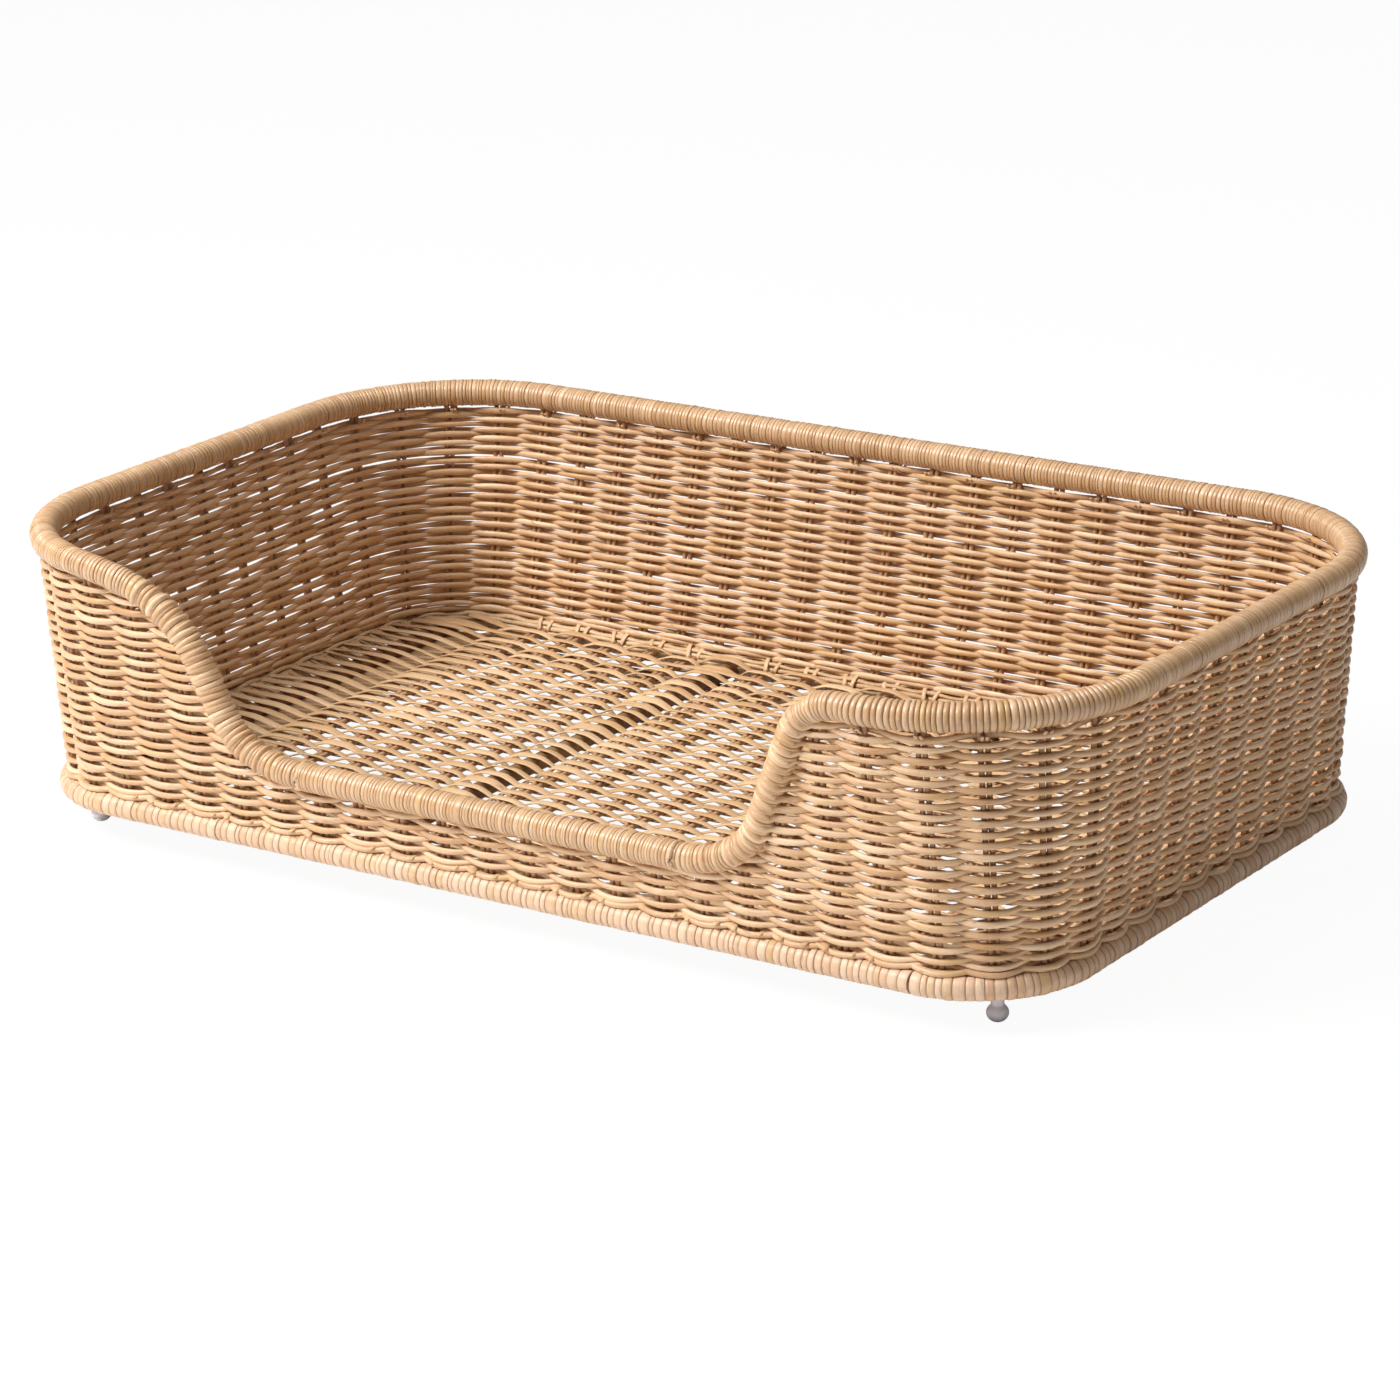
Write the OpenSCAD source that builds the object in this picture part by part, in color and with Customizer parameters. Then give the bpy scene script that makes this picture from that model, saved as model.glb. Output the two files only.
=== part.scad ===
// Wicker pet bed: a rounded oblong basket of round rattan core woven over pairs of
// stakes, with a bound rim that dips at the front, a woven floor and four feet.
// Origin: bottom centre, on the surface it stands on. +X long side, -Y entrance, +Z up.

/* [Overall outline, between pole centres] */
// Length of the rim
rim_length = 800; // [700:1:940]
// Width of the rim
rim_width = 478; // [420:1:560]
// Corner radius of the rim
rim_corner = 121; // [100:1:140]
// Length of the base hoop
base_length = 760; // [660:1:900]
// Width of the base hoop
base_width = 443; // [390:1:520]
// Corner radius of the base hoop
base_corner = 72; // [60:1:90]
// Height of the rim above the base hoop
wall_rise = 168; // [140:1:202]

/* [Front entrance] */
// Height of the sill above the base hoop
sill_rise = 49; // [42:1:60]
// Half width of the sill where the left slope meets it
sill_left = 188; // [150:1:200]
// Half width of the sill where the right slope meets it
sill_right = 193; // [150:1:200]
// Half width of the mouth at rim height on the left
mouth_left = 235; // [205:1:240]
// Half width of the mouth at rim height on the right
mouth_right = 247; // [205:1:255]
// Run of the soft shoulder on the left
shoulder_left = 83; // [40:1:95]
// Run of the tighter shoulder on the right
shoulder_right = 25; // [20:1:40]
// Drop of the left shoulder before the straight slope
shoulder_drop_left = 54; // [30:1:60]
// Drop of the right shoulder before the straight slope
shoulder_drop_right = 25; // [20:1:40]
// Run of the curve between the sill and each slope
sill_curve = 48; // [35:1:60]
// Rise of the curve between the sill and each slope
sill_curve_rise = 37; // [25:1:45]

/* [Poles and binding] */
// Diameter of the rim pole
rim_pole_d = 15; // [12:0.5:16]
// Diameter of the base hoop pole
hoop_pole_d = 11.6; // [10:0.2:13]
// Thickness of the bound peel strip, with its lap
bind_t = 1.8; // [1:0.1:2.5]

/* [Wall weave] */
// Number of stake pairs round the basket
stake_pairs = 70; // [58:4:82]
// Diameter of one stake
stake_d = 4; // [3:0.1:5]
// Diameter of the woven strand
strand_d = 3.3; // [2.8:0.1:3.4]
// Height of one course of weave
course = 3.45; // [3.45:0.05:4.5]
// How far the weave pulls the stakes along the wall from foot to rim
stake_lean = 8; // [0:1:12]
// How far the wall stands inside the hoop centre line
wall_inset = 3; // [2:0.5:5]
// Diameter of the border strand round the foot of the wall
border_d = 3.6; // [3:0.1:4]

/* [Floor] */
// Height of the rib centres above the base hoop centre
rib_rise = 3; // [2:0.5:4]
// Diameter of the cross poles
cross_pole_d = 12; // [10:0.5:13]
// Diameter of the two runners under the cross poles
runner_d = 10; // [8:0.5:12]
// Distance of each end pole from the middle
end_pole_x = 345; // [300:1:410]
// Distance of each runner from the middle
runner_y = 189; // [165:1:225]
// Pitch of the floor strips
strip_pitch = 6.75; // [6:0.05:9]
// Width of one floor strip
strip_w = 5.2; // [4:0.1:5.6]
// Thickness of one floor strip
strip_t = 1.6; // [1.2:0.1:2]

/* [Feet] */
// Height of the base hoop centre above the ground
hoop_z = 27.5; // [25:0.5:34]
// Diameter of the foot head
foot_d = 13.5; // [11:0.5:16]
// Diameter of the foot neck
foot_neck_d = 8; // [6:0.5:9]
// Diameter of the flat that each foot stands on
foot_flat_d = 6; // [4:0.5:8]
// Distance of each foot in from the end of its runner
foot_inset = 9; // [8:0.5:14]
// Diameter of the nail in each foot
nail_d = 2.5; // [2:0.1:3]

/* [Hidden] */
$fn = 48;
fit = 0.2;
seat = 0.35;
tube_sides = 14;
stake_sides = 8;
z_rim = hoop_z + wall_rise;
rim_r = rim_pole_d / 2 + fit + bind_t;
hoop_r = hoop_pole_d / 2 + fit + bind_t;
stake_r = stake_d / 2;
strand_r = strand_d / 2;
pair_half = stake_r + 0.1;
weave_out = stake_r + seat + strand_r;
first_course_z = hoop_z + hoop_r + strand_r + 0.85;
course_count = floor((z_rim - rim_r - strand_r - 0.3 - first_course_z) / course) + 1;
stake_foot_z = hoop_z + hoop_r + fit;
z_sill = hoop_z + sill_rise;

// Outline of the wall's middle surface at a height: half length, half width, corner.
function level(z) = (z - hoop_z) / wall_rise;
function mix(a, b, t) = a + (b - a) * t;
function half_x(z) = mix(base_length / 2 - wall_inset, rim_length / 2, level(z));
function half_y(z) = mix(base_width / 2 - wall_inset, rim_width / 2, level(z));
function corner(z) = mix(base_corner - wall_inset, rim_corner, level(z));
function run_x(z) = half_x(z) - corner(z);
function run_y(z) = half_y(z) - corner(z);
function bend(z) = corner(z) * PI / 2;
function half_round(z) = 2 * (run_x(z) + bend(z) + run_y(z));
function turn(a, z) = a / corner(z) * 180 / PI;

// A point on the wall: d is the way round from the front centre, positive to +X.
function wall_at(d, z) = let (
    a = abs(d), s = sign(d), lx = run_x(z), b = bend(z), ly = run_y(z), r = corner(z),
    p = a < lx ? [a, -half_y(z)]
      : a < lx + b ? [lx + r * sin(turn(a - lx, z)), -ly - r * cos(turn(a - lx, z))]
      : a < lx + b + 2 * ly ? [half_x(z), a - lx - b - ly]
      : a < lx + 2 * b + 2 * ly ? let (w = turn(a - lx - b - 2 * ly, z))
          [lx + r * cos(w), ly + r * sin(w)]
      : [lx - (a - lx - 2 * b - 2 * ly), half_y(z)])
    [s * p[0], p[1], z];

// Outward horizontal normal of the wall at the same place.
function wall_normal(d, z) = let (
    p = wall_at(d - 0.5, z), q = wall_at(d + 0.5, z), v = q - p)
    [v[1], -v[0], 0] / norm(v);

// The rim's line along the front, as pairs of way round and height.
function curve(a, b, c, n) = [for (i = [0 : n]) let (t = i / n)
    a * (1 - t) * (1 - t) + b * 2 * t * (1 - t) + c * t * t];
function slope_at(foot, head, z) = foot + (head - foot) * (z - z_sill) / (z_rim - z_sill);
function slope_point(side, foot, head, z) = [side * slope_at(foot, head, z), z];
function shoulder(side, foot, head, run, drop) = curve([side * (head + run), z_rim],
    [side * head, z_rim], slope_point(side, foot, head, z_rim - drop), 9);
function toe(side, foot, head) = curve(
    slope_point(side, foot, head, z_sill + sill_curve_rise), [side * foot, z_sill],
    [side * (foot - sill_curve), z_sill], 7);
function reversed(v) = [for (i = [len(v) - 1 : -1 : 0]) v[i]];
left_line = concat(
    shoulder(-1, sill_left, mouth_left, shoulder_left, shoulder_drop_left),
    toe(-1, sill_left, mouth_left));
right_line = concat(
    shoulder(1, sill_right, mouth_right, shoulder_right, shoulder_drop_right),
    toe(1, sill_right, mouth_right));
left_start = -run_x(z_rim) - bend(z_rim);
right_end = run_x(z_rim);
left_bend_line = [for (i = [0 : 7])
    [mix(left_start, -mouth_left - shoulder_left, i / 8), z_rim]];

// The line at which the wall stops below the rim: way round and height, low to high.
function edge_of(line, side, gap) = [for (i = [1 : len(line) - 2]) let (
    v = line[i + 1] - line[i - 1], n = [-v[1], v[0]] / norm(v) * side)
    line[i] + n * gap];
left_edge = edge_of(left_line, -1, rim_r + strand_r + 0.4);
right_edge = edge_of(right_line, 1, rim_r + strand_r + 0.4);
function left_stop(z) = lookup(z, [for (p = left_edge) [p[1], p[0]]]);
function right_stop(z) = lookup(z, [for (p = right_edge) [p[1], p[0]]]);
sill_under = z_sill - rim_r;
low_courses = floor((sill_under - strand_r - 0.3 - first_course_z) / course) + 1;
top_edge_z = z_rim - rim_r;
stake_left_edge = edge_of(left_line, -1, rim_r);
stake_right_edge = edge_of(right_line, 1, rim_r);
// Height under the rim at a place on the front.
function under_rim(d) = d < 0
    ? min(top_edge_z, lookup(d, concat([[left_start, top_edge_z]], stake_left_edge,
        [[sill_curve - sill_left, sill_under]])))
    : min(top_edge_z, lookup(d, concat([[sill_right - sill_curve, sill_under]],
        reversed(stake_right_edge), [[run_x(z_rim), top_edge_z]])));

// Round tube swept along points, with a side direction at each, and one with a bore.
function ring(c, u, v, r, n) = [for (i = [0 : n - 1])
    c + r * (u * cos(360 * i / n) + v * sin(360 * i / n))];
function along(path, i) = let (
    v = path[min(i + 1, len(path) - 1)] - path[max(i - 1, 0)]) v / norm(v);
function tube_rings(path, sides, r, n) = [for (i = [0 : len(path) - 1]) let (
    t = along(path, i), u0 = sides[i] - t * (sides[i] * t), u = u0 / norm(u0))
    each ring(path[i], u, cross(t, u), r, n)];
function skin(start, rings, n, flip) = [for (i = [0 : rings - 2], j = [0 : n - 1]) let (
    a = start + i * n + j, b = start + i * n + (j + 1) % n, c = b + n, d = a + n)
    flip ? [d, c, b, a] : [a, b, c, d]];
module tube(path, sides, r, n) {
    m = len(path);
    polyhedron(tube_rings(path, sides, r, n), concat(skin(0, m, n, false),
        [[for (j = [n - 1 : -1 : 0]) j], [for (j = [0 : n - 1]) (m - 1) * n + j]]));
}
module sleeve(path, sides, r_in, r_out, n) {
    m = len(path);
    o = m * n;
    last = (m - 1) * n;
    polyhedron(concat(tube_rings(path, sides, r_out, n), tube_rings(path, sides, r_in, n)),
        concat(skin(0, m, n, false), skin(o, m, n, true),
            [for (j = [0 : n - 1]) let (k = (j + 1) % n) [j, o + j, o + k, k]],
            [for (j = [0 : n - 1]) let (k = (j + 1) % n)
                [last + j, last + k, o + last + k, o + last + j]]));
}
module rod(a, b, r) {
    v = b - a;
    translate(a) rotate([0, acos(v[2] / norm(v)), atan2(v[1], v[0])])
        cylinder(h = norm(v), r = r, $fn = 32);
}

// Profiles carried round one level outline: a straight side or one corner.
module side_x(z, sy, out = 0) {
    translate([-run_x(z), sy * (half_y(z) + out), z]) rotate([0, 90, 0])
        linear_extrude(2 * run_x(z)) children();
}
module side_y(z, sx, out = 0) {
    translate([sx * (half_x(z) + out), run_y(z), z]) rotate([90, 0, 0])
        linear_extrude(2 * run_y(z)) children();
}
module bend_at(z, sx, sy, out = 0, from = 0, to = 90) {
    start = sx > 0 ? (sy > 0 ? 0 : 270) : (sy > 0 ? 90 : 180);
    translate([sx * run_x(z), sy * run_y(z), z]) rotate([0, 0, start + from])
        rotate_extrude(angle = to - from) translate([corner(z) + out, 0]) children();
}
module bore_ring(r_in, r_out) {
    difference() {
        circle(r_out);
        circle(r_in);
    }
}

// Base hoop: its own outline lies outside the wall's by the inset.
hoop_run_x = base_length / 2 - base_corner;
hoop_run_y = base_width / 2 - base_corner;
module hoop_side_x(sy) {
    translate([-hoop_run_x, sy * base_width / 2, hoop_z]) rotate([0, 90, 0])
        linear_extrude(2 * hoop_run_x) children();
}
module hoop_side_y(sx) {
    translate([sx * base_length / 2, hoop_run_y, hoop_z]) rotate([90, 0, 0])
        linear_extrude(2 * hoop_run_y) children();
}
module hoop_bend(sx, sy) {
    start = sx > 0 ? (sy > 0 ? 0 : 270) : (sy > 0 ? 90 : 180);
    translate([sx * hoop_run_x, sy * hoop_run_y, hoop_z]) rotate([0, 0, start])
        rotate_extrude(angle = 90) translate([base_corner, 0]) children();
}
module all_round_hoop() {
    for (s = [-1, 1]) {
        hoop_side_x(s) children();
        hoop_side_y(s) children();
        for (t = [-1, 1]) hoop_bend(s, t) children();
    }
}
module base_hoop() {
    color("#a9784a") all_round_hoop() circle(hoop_pole_d / 2);
}
module base_binding() {
    color("#dcb88a") all_round_hoop() bore_ring(hoop_pole_d / 2 + fit, hoop_r);
}

// Rim: the pole in two lengths, bound all the way round.
function lift(line) = [for (p = line) wall_at(p[0], p[1])];
function normals(line) = [for (p = line) wall_normal(p[0], p[1])];
rim_front_line = concat(left_bend_line, left_line, reversed(right_line),
    [[right_end, z_rim]]);
module rim_long_way() {
    side_x(z_rim, 1) children();
    for (s = [-1, 1]) {
        side_y(z_rim, s) children();
        bend_at(z_rim, s, 1) children();
    }
    bend_at(z_rim, 1, -1) children();
}
module rim_pole_back() {
    color("#a9784a") rim_long_way() circle(rim_pole_d / 2);
}
module rim_pole_front() {
    color("#a9784a") tube(lift(rim_front_line), normals(rim_front_line),
        rim_pole_d / 2, tube_sides);
}
module bound_line(line) {
    color("#cf9f6b") sleeve(lift(line), normals(line), rim_pole_d / 2 + fit, rim_r, tube_sides);
}
module rim_tube() {
    bore_ring(rim_pole_d / 2 + fit, rim_r);
}
module rim_binding_back() {
    color("#cf9f6b") side_x(z_rim, 1) rim_tube();
}
module rim_binding_left() {
    color("#cf9f6b") side_y(z_rim, -1) rim_tube();
}
module rim_binding_right() {
    color("#cf9f6b") side_y(z_rim, 1) rim_tube();
}
module rim_binding_back_left() {
    color("#cf9f6b") bend_at(z_rim, -1, 1) rim_tube();
}
module rim_binding_back_right() {
    color("#cf9f6b") bend_at(z_rim, 1, 1) rim_tube();
}
module rim_binding_front_right() {
    color("#cf9f6b") bend_at(z_rim, 1, -1) rim_tube();
}
module rim_binding_front_left() {
    bound_line(concat(left_bend_line, [left_line[0]]));
}
module rim_binding_slope_left() {
    bound_line(left_line);
}
module rim_binding_sill() {
    bound_line([left_line[len(left_line) - 1], right_line[len(right_line) - 1]]);
}
module rim_binding_slope_right() {
    bound_line(reversed(concat([[right_end, z_rim]], right_line)));
}

// Wall weave: courses pass outside and inside the stakes by turns.
function course_z(i) = first_course_z + i * course;
function course_out(i) = i % 2 == 1 ? weave_out : -weave_out;
all_courses = [0 : course_count - 1];
module strand_end() {
    circle(strand_r, $fn = 32);
}
module weave_back() {
    color("#c99a63") for (i = all_courses)
        side_x(course_z(i), 1, course_out(i)) strand_end();
}
module weave_left() {
    color("#b98a57") for (i = all_courses)
        side_y(course_z(i), -1, course_out(i)) strand_end();
}
module weave_right() {
    color("#b98a57") for (i = all_courses)
        side_y(course_z(i), 1, course_out(i)) strand_end();
}
module weave_front_low() {
    color("#d2a26c") for (i = [0 : low_courses - 1])
        side_x(course_z(i), -1, course_out(i)) strand_end();
}
module front_length(z, out, a, b) {
    if (b - a > 3) translate([a, -half_y(z) - out, z]) rotate([0, 90, 0])
        linear_extrude(b - a) strand_end();
}
module weave_front_left() {
    color("#d2a26c") for (i = [low_courses : course_count - 1]) let (z = course_z(i))
        front_length(z, course_out(i), -run_x(z), left_stop(z));
}
module weave_front_right() {
    color("#d2a26c") for (i = [low_courses : course_count - 1]) let (z = course_z(i))
        front_length(z, course_out(i), right_stop(z), run_x(z));
}
// Each bend is three bands, so that every band stays close to straight.
module weave_bend(i, sx, sy, last = 90) {
    for (third = [0 : 2]) bend_at(course_z(i), sx, sy, course_out(i), third * 30 + 0.1,
        third == 2 ? last : third * 30 + 29.9) strand_end();
}
module weave_corner(sx, sy) {
    color("#c4935c") for (i = all_courses) weave_bend(i, sx, sy);
}
module weave_corner_back_left() {
    weave_corner(-1, 1);
}
module weave_corner_back_right() {
    weave_corner(1, 1);
}
module weave_corner_front_right() {
    weave_corner(1, -1);
}
// The soft shoulder begins in this corner, so the top courses stop short of it.
module weave_corner_front_left() {
    color("#c4935c") for (i = all_courses) let (z = course_z(i),
        short = max(0, turn(-left_stop(z) - run_x(z), z)))
        weave_bend(i, -1, -1, 90 - short);
}

// Border strand round the foot of the wall, on the base binding.
border_z = hoop_z + hoop_r + fit + border_d / 2;
module foot_border_side(s, t) {
    out = weave_out + (border_d - strand_d) / 2;
    if (t == 0) side_x(border_z, s, out) circle(border_d / 2);
    else side_y(border_z, t, out) circle(border_d / 2);
}
module foot_border() {
    out = weave_out + (border_d - strand_d) / 2;
    color("#cc9b66") {
        foot_border_side(-1, 0);
        foot_border_side(1, 0);
        foot_border_side(0, -1);
        foot_border_side(0, 1);
        for (s = [-1, 1], t = [-1, 1]) bend_at(border_z, s, t, out, 0.2, 89.8)
            circle(border_d / 2);
    }
}

// Stakes: pairs of rods, evenly spaced at the foot. They stand upright along the
// straight sides, spread at the corners, and all lean a little the same way round.
stake_pitch = 2 * half_round(hoop_z) / stake_pairs;
spread = (half_round(z_rim) - half_round(hoop_z)) / 2;
function stake_spread(a) = lookup(a, [[0, 0], [run_x(hoop_z) - 30, 0],
    [run_x(hoop_z) + bend(hoop_z) + 30, spread],
    [half_round(hoop_z) - run_x(hoop_z) - bend(hoop_z) - 30, spread],
    [half_round(hoop_z) - run_x(hoop_z) + 30, 2 * spread], [half_round(hoop_z), 2 * spread]]);
function stake_d_at(j, z) = let (d = (j + 1) * stake_pitch - half_round(hoop_z))
    d + level(z) * (sign(d) * stake_spread(abs(d)) - stake_lean);
// Where the rim passes over a stake that reaches height z. A stake leans, so this is
// asked again from the height found.
function over_stake(j, k, z) = let (d = stake_d_at(j, z) + k * pair_half)
    abs(d) < run_x(z_rim) + bend(z_rim) ? min(under_rim(d - stake_r),
        under_rim(d + stake_r)) : top_edge_z;
function stake_top(j, k) = let (a = over_stake(j, k, z_rim), b = over_stake(j, k, a),
    c = over_stake(j, k, b)) min(b, c) - fit;
function region(j) = let (a = abs(stake_d_at(j, stake_foot_z)), b = abs(stake_d_at(j, z_rim)),
    g = pair_half + stake_r, hi = max(a, b) + g, lo = min(a, b) - g)
    hi < min(run_x(z_rim), run_x(hoop_z)) ? "front"
    : lo > max(half_round(z_rim) - run_x(z_rim), half_round(hoop_z) - run_x(z_rim)) ? "back"
    : lo > run_x(hoop_z) + bend(z_rim) && hi < run_x(z_rim) + bend(hoop_z) + 2 * run_y(z_rim)
        ? (stake_d_at(j, z_rim) > 0 ? "right" : "left")
    : "corner";
module stakes(where) {
    for (j = [0 : stake_pairs - 1], k = [-1, 1]) if (region(j) == where) {
        top = stake_top(j, k);
        rod(wall_at(stake_d_at(j, stake_foot_z) + k * pair_half, stake_foot_z),
            wall_at(stake_d_at(j, top) + k * pair_half, top), stake_r);
    }
}
module stakes_back() {
    color("#8f6238") stakes("back");
}
module stakes_front() {
    color("#8f6238") stakes("front");
}
module stakes_left() {
    color("#8f6238") stakes("left");
}
module stakes_right() {
    color("#8f6238") stakes("right");
}
module stakes_corners() {
    steps = 5;
    color("#8f6238") for (j = [0 : stake_pairs - 1], k = [-1, 1])
        if (region(j) == "corner") {
            top = stake_top(j, k);
            line = [for (i = [0 : steps]) let (z = mix(stake_foot_z, top, i / steps))
                [stake_d_at(j, z) + k * pair_half, z]];
            tube(lift(line), normals(line), stake_r * 0.98, stake_sides);
        }
}

// Floor: cross poles on runners, rib pairs, and strips woven over and under them.
rib_z = hoop_z + rib_rise;
cross_r = cross_pole_d / 2;
runner_r = runner_d / 2;
runner_z = rib_z - cross_r - fit - runner_r;
rib_pitch = stake_pitch;
rib_slots = floor((end_pole_x - 0.5 * rib_pitch - cross_r) / rib_pitch);
inner_pole_slot = floor(rib_slots / 3);
function slot_x(k) = (k + 0.5) * rib_pitch;
// Half width of the clear space inside the base binding at x, for a piece of half size g.
function clear_y(x, g) = let (r = base_corner - hoop_r - seat, a = max(0, x + g - hoop_run_x))
    hoop_run_y + sqrt(max(1, r * r - a * a));
function clear_x(y, g) = let (r = base_corner - hoop_r - seat, a = max(0, y + g - hoop_run_y))
    hoop_run_x + sqrt(max(1, r * r - a * a));
module cross_pole(x) {
    w = clear_y(abs(x), cross_r);
    color("#6f4a2c") translate([x, w, rib_z]) rotate([90, 0, 0])
        cylinder(h = 2 * w, d = cross_pole_d);
}
module end_pole_left() {
    cross_pole(-end_pole_x);
}
module end_pole_right() {
    cross_pole(end_pole_x);
}
module cross_pole_left() {
    cross_pole(-slot_x(inner_pole_slot));
}
module cross_pole_right() {
    cross_pole(slot_x(inner_pole_slot));
}
runner_half = clear_x(runner_y, runner_r);
foot_x = runner_half - foot_inset;
nail_top = runner_z + runner_r - 2;
module runner(s) {
    color("#6f4a2c") difference() {
        translate([-runner_half, s * runner_y, runner_z]) rotate([0, 90, 0])
            cylinder(h = 2 * runner_half, d = runner_d);
        for (t = [-1, 1]) translate([t * foot_x, s * runner_y, 0])
            cylinder(h = nail_top + fit, d = nail_d + 2 * fit);
    }
}
module runner_front() {
    runner(-1);
}
module runner_back() {
    runner(1);
}
rib_slots_used = [for (k = [0 : rib_slots - 1]) if (k != inner_pole_slot) k];
module floor_ribs() {
    color("#8f6238") for (k = rib_slots_used, s = [-1, 1], m = [-1, 1]) {
        x = s * slot_x(k) + m * pair_half;
        w = clear_y(abs(x), stake_r);
        translate([x, w, rib_z]) rotate([90, 0, 0]) cylinder(h = 2 * w, r = stake_r);
    }
}
// A strip's line along X as pairs of place and height: over or under each crossing.
rib_lift = stake_r + strip_t / 2 + 0.15;
pole_lift = cross_r + strip_t / 2 + 0.15;
rib_flat = pair_half + stake_r + 0.3;
pole_flat = cross_r * 0.6;
crossings = concat([[-end_pole_x, 1]],
    [for (k = [rib_slots - 1 : -1 : 0]) [-slot_x(k), k == inner_pole_slot ? 1 : 0]],
    [for (k = [0 : rib_slots - 1]) [slot_x(k), k == inner_pole_slot ? 1 : 0]],
    [[end_pole_x, 1]]);
function strip_level(c, i, row, near_runner) = let (
    up = (i + row) % 2 == 0 || (near_runner && c[1] == 1), h = c[1] == 1 ? pole_lift : rib_lift)
    up ? h : -h;
function strip_line(row, near_runner, x_end) = concat([[-x_end, 0]],
    [for (i = [0 : len(crossings) - 1]) let (c = crossings[i],
        f = c[1] == 1 ? pole_flat : rib_flat, z = strip_level(c, i, row, near_runner))
        if (abs(c[0]) + f < x_end) each [[c[0] - f, z], [c[0] + f, z]]],
    [[x_end, 0]]);
module strip(row, y) {
    near = abs(abs(y) - runner_y) < runner_r + strip_w / 2 + 0.5;
    x_end = clear_x(abs(y), strip_w / 2);
    line = strip_line(row, near, x_end);
    translate([0, y + strip_w / 2, rib_z]) rotate([90, 0, 0]) linear_extrude(strip_w)
        polygon(concat([for (p = line) p + [0, strip_t / 2]],
            [for (p = reversed(line)) p - [0, strip_t / 2]]));
}
strip_rows = floor((clear_y(0, 0) - strip_w / 2 + strip_pitch / 2) / strip_pitch);
module strips(phase) {
    color("#d9b07c") for (row = [-strip_rows : strip_rows - 1])
        if (abs(row) % 2 == phase) strip(phase, (row + 0.5) * strip_pitch);
}
module floor_strips_even() {
    strips(0);
}
module floor_strips_odd() {
    strips(1);
}

// Feet: one moulded bulb at each runner end, held by a nail.
foot_top = runner_z - runner_r - fit;
neck_h = foot_top * 0.3;
module foot(sx, sy) {
    h = foot_top - neck_h;
    color("#dcdbe0") translate([sx * foot_x, sy * runner_y, 0]) difference() {
        rotate_extrude() polygon(concat([[0, 0], [foot_flat_d / 2, 0]],
            [for (a = [-50 : 10 : 50]) [foot_d / 2 * cos(a * 0.9),
                h / 2 + h / 2 * sin(a) / sin(50) * 0.96]],
            [[foot_neck_d / 2, h], [foot_neck_d / 2, foot_top], [0, foot_top]]));
        translate([0, 0, 4 - fit]) cylinder(h = foot_top, d = nail_d + 2 * fit);
    }
}
module foot_front_left() {
    foot(-1, -1);
}
module foot_front_right() {
    foot(1, -1);
}
module foot_back_left() {
    foot(-1, 1);
}
module foot_back_right() {
    foot(1, 1);
}
module foot_nails() {
    color("silver") for (s = [-1, 1], t = [-1, 1])
        translate([s * foot_x, t * runner_y, 4]) cylinder(h = nail_top - 4, d = nail_d);
}

base_hoop();
base_binding();
rim_pole_back();
rim_pole_front();
rim_binding_back();
rim_binding_left();
rim_binding_right();
rim_binding_back_left();
rim_binding_back_right();
rim_binding_front_right();
rim_binding_front_left();
rim_binding_slope_left();
rim_binding_sill();
rim_binding_slope_right();
weave_back();
weave_left();
weave_right();
weave_front_low();
weave_front_left();
weave_front_right();
weave_corner_back_left();
weave_corner_back_right();
weave_corner_front_right();
weave_corner_front_left();
foot_border();
stakes_back();
stakes_front();
stakes_left();
stakes_right();
stakes_corners();
end_pole_left();
end_pole_right();
cross_pole_left();
cross_pole_right();
runner_front();
runner_back();
floor_ribs();
floor_strips_even();
floor_strips_odd();
foot_front_left();
foot_front_right();
foot_back_left();
foot_back_right();
foot_nails();
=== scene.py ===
"""A wicker pet bed: its woven rattan, bound rim and moulded feet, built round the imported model."""
import math

import bpy
import numpy as np
from mathutils import Matrix, Vector


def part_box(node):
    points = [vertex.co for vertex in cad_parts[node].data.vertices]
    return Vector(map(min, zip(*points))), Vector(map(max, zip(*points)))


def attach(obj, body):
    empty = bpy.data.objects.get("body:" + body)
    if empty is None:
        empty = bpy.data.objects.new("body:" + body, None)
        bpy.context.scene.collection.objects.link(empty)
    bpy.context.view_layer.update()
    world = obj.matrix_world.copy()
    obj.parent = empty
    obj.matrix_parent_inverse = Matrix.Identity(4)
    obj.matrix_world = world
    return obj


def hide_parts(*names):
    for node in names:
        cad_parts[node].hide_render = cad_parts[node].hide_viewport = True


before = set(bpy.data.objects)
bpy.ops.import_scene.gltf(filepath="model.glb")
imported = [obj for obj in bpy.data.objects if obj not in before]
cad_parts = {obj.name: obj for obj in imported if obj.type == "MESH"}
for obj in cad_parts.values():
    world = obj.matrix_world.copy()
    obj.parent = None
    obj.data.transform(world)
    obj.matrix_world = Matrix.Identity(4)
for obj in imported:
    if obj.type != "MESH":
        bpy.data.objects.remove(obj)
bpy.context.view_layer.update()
rng = np.random.default_rng(31)
MM = 0.001

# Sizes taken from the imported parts, in metres.
hoop_low, hoop_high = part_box("base_hoop")
hoop_pole = (hoop_high.z - hoop_low.z) / 2
hoop_z = (hoop_high.z + hoop_low.z) / 2
base_x, base_y = hoop_high.x - hoop_pole, hoop_high.y - hoop_pole
rim_low, rim_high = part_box("rim_pole_back")
rim_pole = (rim_high.z - rim_low.z) / 2
rim_z = (rim_high.z + rim_low.z) / 2
rim_x, rim_y = rim_high.x - rim_pole, rim_high.y - rim_pole
rim_corner = rim_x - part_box("rim_binding_back")[1].x
rim_radius = (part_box("rim_binding_back")[1].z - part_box("rim_binding_back")[0].z) / 2
hoop_radius = (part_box("base_binding")[1].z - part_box("base_binding")[0].z) / 2
base_corner = 72 * MM
inset = 3 * MM
rise = rim_z - hoop_z
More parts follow.
